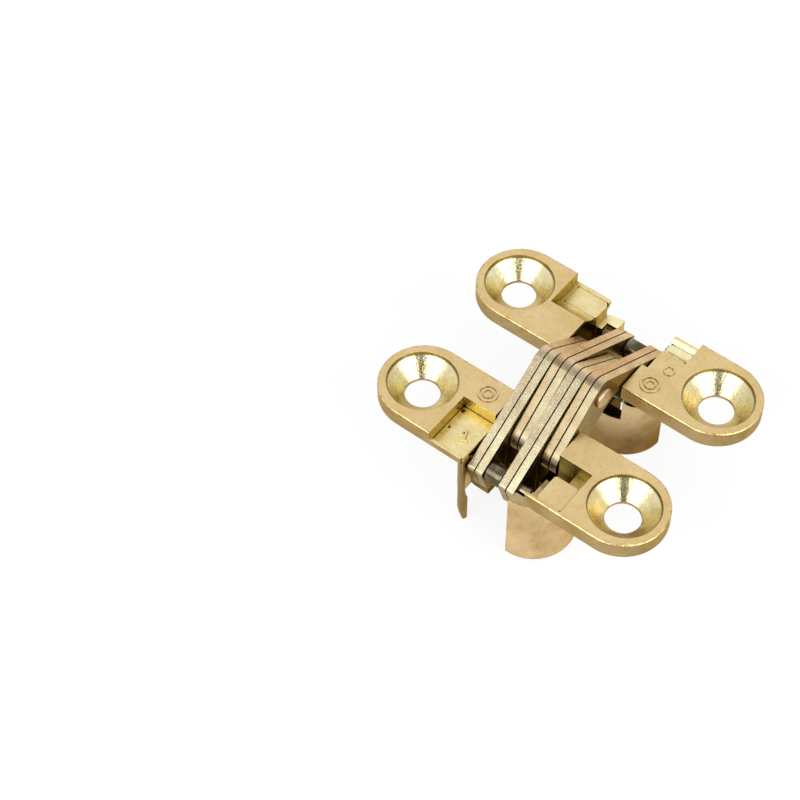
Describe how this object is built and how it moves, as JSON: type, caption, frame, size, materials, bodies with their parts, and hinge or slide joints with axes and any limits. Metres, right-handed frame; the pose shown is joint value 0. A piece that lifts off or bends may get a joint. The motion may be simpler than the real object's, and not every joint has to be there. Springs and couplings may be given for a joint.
{
  "type": "concealed door hinge",
  "caption": "Concealed door hinge for round-ended mortises: two cast leaves joined by crossed stamped links that fold into their cups.",
  "frame": {"origin": "middle of the hinge lying open flat, on the plane of the cup bottoms", "axes": "+X along the leaves, +Y from leaf a to leaf b across the gap, +Z out of the leaf faces"},
  "size_m": [0.0458, 0.0354, 0.0229],
  "materials": {
    "cast_leaf": "satin brass plating on a fine-grained zinc casting",
    "pin_keeper": "satin brass plating",
    "link_plate": "pale brass plating on stamped steel",
    "pin_steel": "drawn steel, lightly plated"
  },
  "bodies": {
    "leaf_a": {"leaf_casting_a": "cast_leaf", "pin_keeper_a_left": "pin_keeper", "pin_keeper_a_right": "pin_keeper", "pivot_pin_a": "pin_steel"},
    "links_b": {"link_plate_3_b": "link_plate", "link_plate_4_b": "link_plate", "link_plate_7_b": "link_plate", "link_plate_8_b": "link_plate", "slide_pin_b": "pin_steel", "spacer_sleeve_b": "pin_steel"},
    "links_a": {"link_plate_1_a": "link_plate", "link_plate_2_a": "link_plate", "link_plate_5_a": "link_plate", "link_plate_6_a": "link_plate", "centre_pin": "pin_steel", "slide_pin_a": "pin_steel", "spacer_sleeve_a": "pin_steel"},
    "leaf_b": {"leaf_casting_b": "cast_leaf", "pin_keeper_b_left": "pin_keeper", "pin_keeper_b_right": "pin_keeper", "pivot_pin_b": "pin_steel"}
  },
  "joints": [
    {"name": "leaf_a_pivot", "type": "hinge", "parent": "leaf_a", "child": "links_b", "pos_m": [0, -0.00675, 0.0135], "axis": [1, 0, 0], "range_deg": [0, 107.18]},
    {"name": "centre_pivot", "type": "hinge", "parent": "links_b", "child": "links_a", "pos_m": [0, 0, 0.0201], "axis": [1, 0, 0], "range_deg": [-34.4, 0]},
    {"name": "leaf_b_pivot", "type": "hinge", "parent": "links_a", "child": "leaf_b", "pos_m": [0, 0.00675, 0.0135], "axis": [1, 0, 0], "range_deg": [0, 107.23]}
  ],
  "couplings": [
    {"joint": "centre_pivot", "follows": "leaf_a_pivot", "ratio": -0.32051},
    {"joint": "leaf_b_pivot", "follows": "leaf_a_pivot", "ratio": 1}
  ]
}
